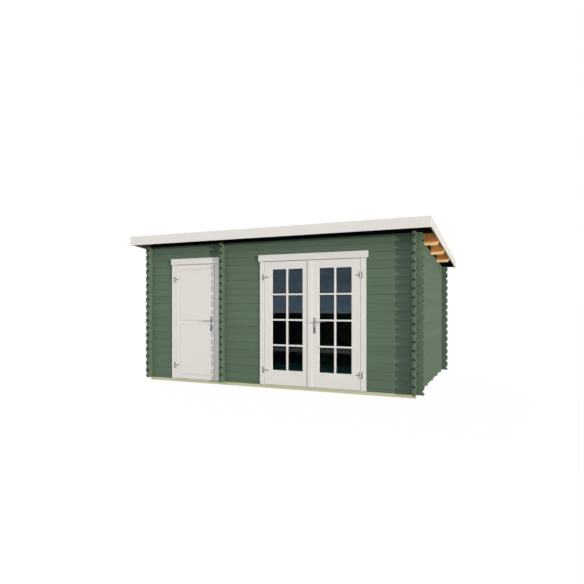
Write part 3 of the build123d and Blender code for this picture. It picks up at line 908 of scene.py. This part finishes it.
def seen_directly(tree):
    """1 for rays from the camera, a mirror or through glass."""
    path = add(tree, "ShaderNodeLightPath").outputs
    either = add(
        tree, "ShaderNodeMath", {0: path["Is Camera Ray"], 1: path["Is Singular Ray"]},
        operation="MAXIMUM").outputs[0]
    return add(
        tree, "ShaderNodeMath", {0: either, 1: path["Is Transmission Ray"]},
        operation="MAXIMUM").outputs[0]


class CABIN_OT_stage(CabinOperator, bpy.types.Operator):
    """Make the camera, the light and the pale floor"""

    bl_idname = "cabin.stage"
    bl_label = "Stage"

    def execute(self, context):
        context.scene.view_settings.view_transform = "Standard"
        set_camera()
        set_light()
        reach = 90.0
        mesh = bpy.data.meshes.new("pale floor")
        mesh.from_pydata(
            [(-reach, -reach, 0), (reach, -reach, 0), (reach, reach, 0), (-reach, reach, 0)],
            [], [(0, 1, 2, 3)])
        material, tree = new_material("pale studio floor")
        matt = add(tree, "ShaderNodeBsdfDiffuse", {"Color": linear("#969694")})
        glow = add(tree, "ShaderNodeEmission", {"Color": linear("#FFFFFF"), "Strength": FLOOR_GLOW})
        seen = seen_directly(tree)
        glow_share = 0.88
        part = add(tree, "ShaderNodeMath", {0: seen, 1: glow_share}, operation="MULTIPLY").outputs[0]
        mixed = add(
            tree, "ShaderNodeMixShader", {0: part, 1: matt.outputs[0], 2: glow.outputs[0]})
        add(tree, "ShaderNodeOutputMaterial", {"Surface": mixed.outputs[0]})
        mesh.materials.append(material)
        ground = bpy.data.objects.new("pale_floor", mesh)
        context.scene.collection.objects.link(ground)
        self.dark_card()
        return {"FINISHED"}

    def dark_card(self):
        """Dark card on the floor before the doors, seen only in the sharp reflections of the panes:
        painted reflections that keep the lower panes dark, so that the room shows through them. It
        glows with a dull blue-green stripe near the doors and one pale stripe further off, painted
        reflections too."""
        near, far, left, right = 1.6, 77.0, -50.0, 6.0
        mesh = bpy.data.meshes.new("dark card")
        mesh.from_pydata(
            [(left, -far, MILLI), (right, -far, MILLI), (right, -near, MILLI), (left, -near, MILLI)],
            [], [(0, 1, 2, 3)])
        material, tree = new_material("card of painted pane reflections")
        place = add(tree, "ShaderNodeTexCoord").outputs["Object"]
        forward = add(tree, "ShaderNodeSeparateXYZ", {0: place}).outputs["Y"]
        reach = 10.0
        away = add(tree, "ShaderNodeMapRange", {"Value": forward, "From Max": -reach})
        ramp = add(tree, "ShaderNodeValToRGB", {0: away.outputs[0]})
        black = linear("#161616")
        stops = (
            (0.22, black), (0.3, linear("#2C7478")), (0.34, linear("#2C7478")), (0.5, black),
            (0.71, black), (0.73, linear("#B0B4B8")), (0.83, linear("#8C9094")), (0.86, black))
        while len(ramp.color_ramp.elements) < len(stops):
            ramp.color_ramp.elements.new(1.0)
        for element, (position, colour) in zip(ramp.color_ramp.elements, stops):
            element.position = position
            element.color = colour
        shown = add(tree, "ShaderNodeEmission", {"Color": ramp.outputs[0]})
        clear = add(tree, "ShaderNodeBsdfTransparent")
        sharp = add(tree, "ShaderNodeLightPath").outputs["Is Singular Ray"]
        mixed = add(
            tree, "ShaderNodeMixShader", {0: sharp, 1: clear.outputs[0], 2: shown.outputs[0]})
        add(tree, "ShaderNodeOutputMaterial", {"Surface": mixed.outputs[0]})
        mesh.materials.append(material)
        card = bpy.data.objects.new("dark_card", mesh)
        for kind in ("camera", "diffuse", "shadow", "volume_scatter"):
            setattr(card, f"visible_{kind}", False)
        bpy.context.scene.collection.objects.link(card)


class CABIN_OT_walls(CabinOperator, bpy.types.Operator):
    """Make the log walls: eased logs with V joints and end grain"""

    bl_idname = "cabin.walls"
    bl_label = "Log walls"

    def execute(self, context):
        for number, wall in enumerate(WALLS):
            along = 1 if wall in CROSS_WALLS else 0
            nodes = [f"{wall}_even_logs", f"{wall}_odd_logs"]
            materials = [MATERIALS["logs", along], MATERIALS["end"], MATERIALS["cut"]]
            piece = eased_piece(
                f"{wall}_logs", nodes, "cabin", materials, sizes().log_ease, 1,
                seed=number, shape=lambda bm: cut_end_corners(bm, along, sizes().end_cut))
            choose_materials(piece, lambda normal: self.log_face(normal, along))
        return {"FINISHED"}

    def log_face(self, normal, along):
        """0 on the long faces, 1 on sawn ends and 2 on the cuts that look down, which take the painted
        shade.
        """
        if abs(normal[along]) < 0.5:
            return 0
        return 2 if normal.z < -0.3 else 1


class CABIN_OT_base(CabinOperator, bpy.types.Operator):
    """Make the bearers and the floor boards of both rooms"""

    bl_idname = "cabin.base"
    bl_label = "Bearers and floors"

    def execute(self, context):
        ease_width = sizes().board_ease
        eased_piece(
            "bearers", ["foundation_bearers"], "cabin", [MATERIALS["treated"]],
            ease_width)
        for node in ("main_room_floor", "store_floor"):
            board_floor(node)
        return {"FINISHED"}


def boards_between(low, high, cover, seed, material):
    """bmesh of boards that fill a box, running front to back, each the same width."""
    count = max(1, round((high[0] - low[0]) / cover))
    width = (high[0] - low[0]) / count
    mesh = grown("boards", None, {
        "Boards": count, "Cover": width, "Gap": MILLI, "Length": high[1] - low[1],
        "Thickness": high[2] - low[2], "Seed": seed, "Material": material})
    bm = bmesh.new()
    bm.from_mesh(mesh)
    bpy.data.meshes.remove(mesh)
    middle = (low[0] + width / 2, (low[1] + high[1]) / 2, (low[2] + high[2]) / 2)
    bmesh.ops.translate(bm, vec=middle, verts=bm.verts)
    bmesh.ops.remove_doubles(bm, verts=bm.verts, dist=MERGE)
    return bm


def board_floor(node):
    """Floor boards in place of a room's floor slab."""
    low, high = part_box(node)
    material = MATERIALS["boards"]
    bm = boards_between(low, high, sizes().floor_board, 5, material)
    ease(bm, sizes().board_ease, 1)
    mesh = to_mesh(bm, f"{node}_boards")
    new_piece(f"{node}_boards", mesh, "cabin", [material], [node])


def slope_of(node):
    """Fall of a sloping CAD slab, and the height of its top at y = 0."""
    co = [v.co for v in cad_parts[node].data.vertices]
    low_y = min(c.y for c in co)
    high_y = max(c.y for c in co)
    front_top = max(c.z for c in co if c.y < low_y + MILLI)
    back_top = max(c.z for c in co if c.y > high_y - MILLI)
    fall = (front_top - back_top) / (high_y - low_y)
    return fall, front_top + fall * low_y


class CABIN_OT_roof(CabinOperator, bpy.types.Operator):
    """Make the roof: purlins, a boarded deck and eaves boards in near black painted shade, felt and trim"""

    bl_idname = "cabin.roof"
    bl_label = "Roof"

    def execute(self, context):
        ease_width = sizes().board_ease
        purlins = eased_piece(
            "purlins", ["roof_purlins"], "cabin",
            [MATERIALS["pine"], MATERIALS["bevel"]], ease_width)
        # Faces that look down take the paler pine: painted light
        choose_materials(purlins, lambda normal: int(normal.z < -0.3))
        # The eaves boards are near black: painted shade between the purlins
        eased_piece(
            "eaves", ["eaves_boards"], "cabin", [MATERIALS["dark"]], ease_width)
        trims = {"front_fascia": 0, "rear_fascia": 0, "bargeboards": 1}
        for node, along in trims.items():
            piece = eased_piece(
                f"{node}_painted", [node], "cabin",
                [MATERIALS["paint", along], MATERIALS["dark"]], ease_width)
            # Its inner and lower faces take the near black: painted shade, as on the eaves boards
            if node == "rear_fascia":
                choose_materials(piece, lambda normal: int(min(normal.y, normal.z) < -0.5))
        self.boarded_deck()
        self.felt_sheets()
        return {"FINISHED"}

    def boarded_deck(self):
        """Boards laid flat in a box, then sheared to the fall of the roof."""
        low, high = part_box("roof_deck")
        fall, level = slope_of("roof_deck")
        thick = 0.016
        # The deck boards are near black: painted shade on the roof's underside
        bm = boards_between(
            (low[0], low[1], -thick), (high[0], high[1], 0), sizes().roof_board, 7,
            MATERIALS["dark"])
        ease(bm, sizes().board_ease, 1)
        for vert in bm.verts:
            vert.co.z += level - fall * vert.co.y
        mesh = to_mesh(bm, "roof_boards")
        new_piece("roof_boards", mesh, "cabin", [MATERIALS["dark"]], ["roof_deck"])

    def felt_sheets(self):
        """Four lengths of felt across the roof, each lapped over the one below, and the turned
        down end behind the rear fascia."""
        low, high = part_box("roof_felt")
        fall, level = slope_of("roof_felt")
        thick = 0.0025
        sheets = 4
        lap = 0.07
        run = (high[1] - low[1]) / sheets
        parts = []
        for sheet in range(sheets):
            y0 = low[1] + sheet * run
            y1 = y0 + run + (lap if sheet < sheets - 1 else 0)
            lift = thick if sheet < sheets - 1 else 0
            bm = board((low[0], y0, -thick), (high[0], y1, 0), thick / 4)
            for vert in bm.verts:
                share = max(0.0, (vert.co.y - y0 - run + lap) / (2 * lap)) if lift else 0.0
                vert.co.z += level - fall * vert.co.y + lift * min(1.0, share * 2)
            parts.append(bm)
        lap_low, lap_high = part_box("rear_felt_lap")
        parts.append(board(lap_low, lap_high, thick / 4))
        mesh = to_mesh(joined(parts, "felt"), "felt")
        new_piece(
            "felt", mesh, "cabin", [MATERIALS["felt"]], ["roof_felt", "rear_felt_lap"])
        self.felt_nails(low, high, fall, level, sheets, lap, thick)

    def felt_nails(self, low, high, fall, level, sheets, lap, thick):
        """Clout nails along the laps and down both verges."""
        run = (high[1] - low[1]) / sheets
        along_lap = 0.6 * lap
        lap_top = 1.2 * thick
        verge = 0.02
        verge_top = 0.4 * MILLI
        end = 0.05
        lines = []
        for sheet in range(1, sheets):
            y = low[1] + sheet * run + along_lap
            z = level - fall * y + lap_top
            lines.append(((low[0] + lap, y, z), (high[0] - lap, y, z)))
        for x in (low[0] + verge, high[0] - verge):
            ends = [(x, y, level - fall * y + verge_top) for y in (low[1] + end, high[1] - end)]
            lines.append(tuple(ends))
        heads_piece(
            "felt_nails", lines, "cabin", MATERIALS["zinc"], sizes().nail_spacing,
            CLOUT_RADIUS, PIN_RISE, (0, fall, 1))


class CABIN_OT_door_frames(CabinOperator, bpy.types.Operator):
    """Make the door frames, casings and head trims"""

    bl_idname = "cabin.door_frames"
    bl_label = "Door frames"

    def execute(self, context):
        upright = MATERIALS["paint", 2]
        level = MATERIALS["paint", 0]
        for door in ("store_door", "double_door"):
            eased_piece(
                f"{door}_posts", [f"{door}_jambs", f"{door}_casings"], "cabin",
                [upright], sizes().board_ease)
            eased_piece(
                f"{door}_rails", [f"{door}_head", f"{door}_threshold", f"{door}_head_trim"], "cabin",
                [level], sizes().board_ease)
            self.trim_pins(door, upright, level)
        return {"FINISHED"}

    def trim_pins(self, door, upright, level):
        """Painted-over pins up both casings and along the head trim."""
        inset = 0.02
        lowest, highest = 0.12, 1.86
        spacing_up = 0.29
        spacing_across = 0.3
        low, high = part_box(f"{door}_casings")
        rows = []
        for x in (low.x + inset, high.x - inset):
            rows.append(((x, low.y, lowest), (x, low.y, highest)))
        heads_piece(
            f"{door}_casing_nails", rows, "cabin", upright, spacing_up, PIN_RADIUS,
            PIN_RISE, (0, -1, 0))
        low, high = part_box(f"{door}_head_trim")
        z = (low.z + high.z) / 2
        row = ((low.x + inset, low.y, z), (high.x - inset, low.y, z))
        heads_piece(
            f"{door}_trim_nails", [row], "cabin", level, spacing_across, PIN_RADIUS,
            PIN_RISE, (0, -1, 0))


def leaf_members(leaf, opening_x, opening_rows):
    """Stiles and rails of a leaf, around openings given as X range and rows of Z."""
    low, high = leaf
    left, right = opening_x
    stiles = [(low, (left, high.y, high.z)), ((right, low.y, low.z), high)]
    rails = []
    level = low.z
    for bottom, top in [*opening_rows, (high.z, None)]:
        rails.append(((left, low.y, level), (right, high.y, bottom)))
        level = top
    return stiles, rails


def leaf_piece(node, body, opening_x, opening_rows):
    """Leaf from separate stiles and rails, so that the joints between them show."""
    stiles, rails = leaf_members(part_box(node), opening_x, opening_rows)
    joint_ease = sizes().board_ease * 0.7
    for group, along, word in ((stiles, 2, "stiles"), (rails, 0, "rails")):
        parts = [board(low, high, joint_ease) for low, high in group]
        mesh = to_mesh(joined(parts, node), f"{node}_{word}")
        new_piece(
            f"{node}_{word}", mesh, body, [MATERIALS["paint", along]],
            [node] if word == "stiles" else ())


# Store door: width of its stiles, and the foot and top of each panel above the walls' foot
STORE_STILE = 0.085
STORE_PANELS = ((0.084, 0.909), (0.975, 1.816))


class CABIN_OT_store_door(CabinOperator, bpy.types.Operator):
    """Make the panelled store door"""

    bl_idname = "cabin.store_door"
    bl_label = "Store door"

    def execute(self, context):
        low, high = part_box("store_leaf")
        left, right = low.x + STORE_STILE, high.x - STORE_STILE
        rows = [(WALL_FOOT + foot, WALL_FOOT + top) for foot, top in STORE_PANELS]
        leaf_piece("store_leaf", "store_door", (left, right), rows)
        panels = [fielded_panel((left, low.y, z0), (right, high.y, z1)) for z0, z1 in rows]
        mesh = to_mesh(joined(panels, "panels"), "store_panels")
        new_piece("store_panels", mesh, "store_door", [MATERIALS["paint", 2]])
        return {"FINISHED"}


def fielded_panel(low, high):
    """Panel whose field is nearly level with the leaf's faces and whose border falls back from it,
    with a fine gap around."""
    fall = sizes().panel_fall
    below_face = 0.2 * MILLI
    depth = fall - below_face
    gap = Vector((MILLI, fall, MILLI))
    bm = box_between(Vector(low) + gap, Vector(high) - gap)
    for face in [face for face in bm.faces if abs(face.normal.y) > 0.5]:
        bmesh.ops.inset_region(bm, faces=[face], thickness=sizes().panel_border, depth=depth)
    return bm


# Panes of a glazed leaf, between its glazing bars
PANES_ACROSS = 2
PANES_UP = 4


class CABIN_OT_glazed_doors(CabinOperator, bpy.types.Operator):
    """Make both glazed leaves with their panes, beads and glazing bars"""

    bl_idname = "cabin.glazed_doors"
    bl_label = "Glazed doors"

    def execute(self, context):
        for side in ("left", "right"):
            body = f"{side}_door"
            low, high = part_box(f"{side}_glass")
            leaf_piece(f"{side}_leaf", body, (low.x, high.x), [(low.z, high.z)])
            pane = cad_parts[f"{side}_glass"].data
            pane.materials.clear()
            pane.materials.append(MATERIALS["glass"])
            room = low.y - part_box(f"{side}_leaf")[0].y
            self.bars(side, body, low, high, room)
            self.beads(side, body, low, high, room)
        eased_piece(
            "cover_strip", ["meeting_strip"], "right_door", [MATERIALS["paint", 2]],
            sizes().board_ease * 1.5, 3)
        self.meeting_seal()
        return {"FINISHED"}

    def meeting_seal(self):
        """Pile seal on the right leaf's edge, in the gap between the leaves."""
        low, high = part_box("right_leaf")
        proud = 0.006
        inset = 0.002
        seal = board(
            (low.x - proud, low.y + inset, low.z + inset), (low.x, low.y + 4 * inset, high.z - inset),
            MILLI)
        mesh = to_mesh(seal, "meeting_seal")
        new_piece("meeting_seal", mesh, "right_door", [MATERIALS["seal"]])

    def bars(self, side, body, low, high, room):
        """Grids of glazing bars on both faces of a pane, white outside and bare pine inside."""
        outside = MATERIALS["paint", 2]
        inside = MATERIALS["pine_upright"]
        mesh = grown("grid", None, {
            "Columns": PANES_ACROSS, "Rows": PANES_UP, "Width": high.x - low.x,
            "Height": high.z - low.z, "Bar": sizes().glazing_bar,
            "Depth": room + sizes().bar_proud, "Face Gap": high.y - low.y, "Material": outside})
        bm = bmesh.new()
        bm.from_mesh(mesh)
        middle = (low + high) / 2
        bmesh.ops.translate(bm, vec=middle, verts=bm.verts)
        bmesh.ops.remove_doubles(bm, verts=bm.verts, dist=MERGE)
        ease(bm, 3 * MILLI, 2)
        tint_islands(bm, 3)
        for face in bm.faces:
            face.material_index = 1 if face.calc_center_median().y > middle.y else 0
        mesh = to_mesh(bm, f"{side}_glazing_bars")
        new_piece(f"{side}_glazing_bars", mesh, body, [outside, inside])

    def beads(self, side, body, low, high, room):
        """Beads that hold the pane, on both faces."""
        rise = room * 0.7
        corners = ((low.x, low.z), (high.x, high.z))
        beads = [
            frame_of_bead(*corners, face, rise, sizes().bead, outward)
            for face, outward in ((low.y, -1), (high.y, 1))]
        mesh = to_mesh(joined(beads, "beads"), f"{side}_beads", radians(40))
        new_piece(f"{side}_beads", mesh, body, [MATERIALS["paint", 2]])


# Height of the keyways and of the hinges' middles, above the walls' foot
KEYWAY_LEVEL = 0.877
HINGE_LEVELS = (0.232, 1.658)

# Heads of the screws in hinges and handle plates
SCREW_RADIUS = 0.0042
SCREW_RISE = 0.0014


class CABIN_OT_ironmongery(CabinOperator, bpy.types.Operator):
    """Make the hinges, handle plates, levers, key cylinders and screws"""

    bl_idname = "cabin.ironmongery"
    bl_label = "Ironmongery"

    def execute(self, context):
        zinc = [MATERIALS["zinc"]]
        steel = [MATERIALS["steel"]]
        width = sizes().metal_ease
        angle = radians(40)
        eased_piece("hinge_frames", ["hinge_pins"], "cabin", zinc, width, 2, angle)
        for side in ("store", "left", "right"):
            eased_piece(
                f"{side}_straps", [f"{side}_hinge_straps"], f"{side}_door", zinc,
                width, 2, angle)
        for side in ("store", "right"):
            eased_piece(
                f"{side}_plates", [f"{side}_handle_plates"], f"{side}_door", steel,
                width * 2, 2, angle)
            eased_piece(
                f"{side}_handle_lever", [f"{side}_lever"], f"{side}_handle", steel,
                width * 2, 3, angle)
            self.lock(side)
        self.hinge_screws()
        return {"FINISHED"}

    def lock(self, side):
        """Key cylinder low on both plates, its keyway, and the plates' screws."""
        low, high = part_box(f"{side}_handle_plates")
        x = (low.x + high.x) / 2
        z = WALL_FOOT + KEYWAY_LEVEL
        screw_from_end = 0.016
        barrel_radius, barrel_rise = 0.0105, 0.004
        lobe_half, lobe_drop, lobe_rise = 0.006, 0.022, 0.003
        slot_half, slot_height, slot_foot, slot_top = 0.0012, 0.008, 0.0036, 0.0044
        cylinders = []
        keyways = []
        screws = []
        for face, outward in ((low.y, -1), (high.y, 1)):
            barrel = (x, face, z + slot_height / 2)
            cylinders.append(round_bar(barrel, outward * barrel_rise, barrel_radius, 20))
            lobe = sorted_pair(
                (x - lobe_half, face, z - lobe_drop),
                (x + lobe_half, face + outward * lobe_rise, z))
            cylinders.append(board(*lobe, 2 * MILLI))
            # The keyway is a near black bar on the cylinder's face: painted shade of the key slot
            keyway = sorted_pair(
                (x - slot_half, face + outward * slot_foot, z),
                (x + slot_half, face + outward * slot_top, z + slot_height))
            keyways.append(board(*keyway, 0.2 * MILLI))
            for level in (low.z + screw_from_end, high.z - screw_from_end):
                screws.append(round_bar((x, face, level), outward * 1.6 * MILLI, 4 * MILLI, 12))
        for word, parts, metal_name, angle in (
                ("key_cylinder", cylinders, "nickel", radians(40)),
                ("plate_screw_heads", screws, "steel", radians(40)),
                ("keyways", keyways, "dark", None)):
            mesh = to_mesh(joined(parts, word), f"{side}_{word}", angle)
            new_piece(
                f"{side}_{word}", mesh, f"{side}_door", [MATERIALS[metal_name]])

    def hinge_screws(self):
        """Two screws in each strap and two or three in each frame plate, on the outside face."""
        levels = [WALL_FOOT + level for level in HINGE_LEVELS]
        zinc = MATERIALS["zinc"]
        pin_inset = 0.007
        strap = (0.022, 0.05)
        strap_thick = 0.003
        plate = 0.02
        apart = 0.03
        for side in ("store", "left", "right"):
            low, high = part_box(f"{side}_hinge_straps")
            inward = -1 if side == "right" else 1
            pin = high.x - pin_inset if side == "right" else low.x + pin_inset
            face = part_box(f"{side}_leaf")[0].y - strap_thick
            first, last = [pin + inward * across for across in strap]
            straps = [((first, face, z), (last, face, z)) for z in levels]
            heads_piece(
                f"{side}_strap_screws", straps, f"{side}_door", zinc,
                strap[1] - strap[0], SCREW_RADIUS, SCREW_RISE, (0, -1, 0))
            x = pin - inward * plate
            plates = [((x, face, z - apart), (x, face, z + apart)) for z in levels]
            heads_piece(
                f"{side}_plate_screws", plates, "cabin", zinc, apart, SCREW_RADIUS,
                SCREW_RISE, (0, -1, 0))


STEPS = (
    CABIN_OT_stage, CABIN_OT_walls, CABIN_OT_base, CABIN_OT_roof, CABIN_OT_door_frames,
    CABIN_OT_store_door, CABIN_OT_glazed_doors, CABIN_OT_ironmongery)


class CABIN_PT_panel(bpy.types.Panel):
    """Lists the steps that make the cabin"""

    bl_idname = "CABIN_PT_panel"
    bl_label = "Log cabin"
    bl_space_type = "VIEW_3D"
    bl_region_type = "UI"
    bl_category = "Cabin"

    def draw(self, context):
        for group in (context.scene.cabin_sizes, context.scene.cabin_colours):
            column = self.layout.column()
            for name in group.bl_rna.properties.keys():
                if name not in ("rna_type", "name"):
                    column.prop(group, name)
        for step in STEPS:
            self.layout.operator(step.bl_idname)


CLASSES = (CabinSizes, CabinColours, *STEPS, CABIN_PT_panel)


def register():
    for item in CLASSES:
        bpy.utils.register_class(item)
    bpy.types.Scene.cabin_sizes = bpy.props.PointerProperty(type=CabinSizes)
    bpy.types.Scene.cabin_colours = bpy.props.PointerProperty(type=CabinColours)


def unregister():
    del bpy.types.Scene.cabin_colours
    del bpy.types.Scene.cabin_sizes
    for item in reversed(CLASSES):
        bpy.utils.unregister_class(item)


def main():
    register()
    MATERIALS.update(make_materials())
    bpy.ops.cabin.stage()
    bpy.ops.cabin.walls()
    bpy.ops.cabin.base()
    bpy.ops.cabin.roof()
    bpy.ops.cabin.door_frames()
    bpy.ops.cabin.store_door()
    bpy.ops.cabin.glazed_doors()
    bpy.ops.cabin.ironmongery()


if __name__ == "__main__":
    main()
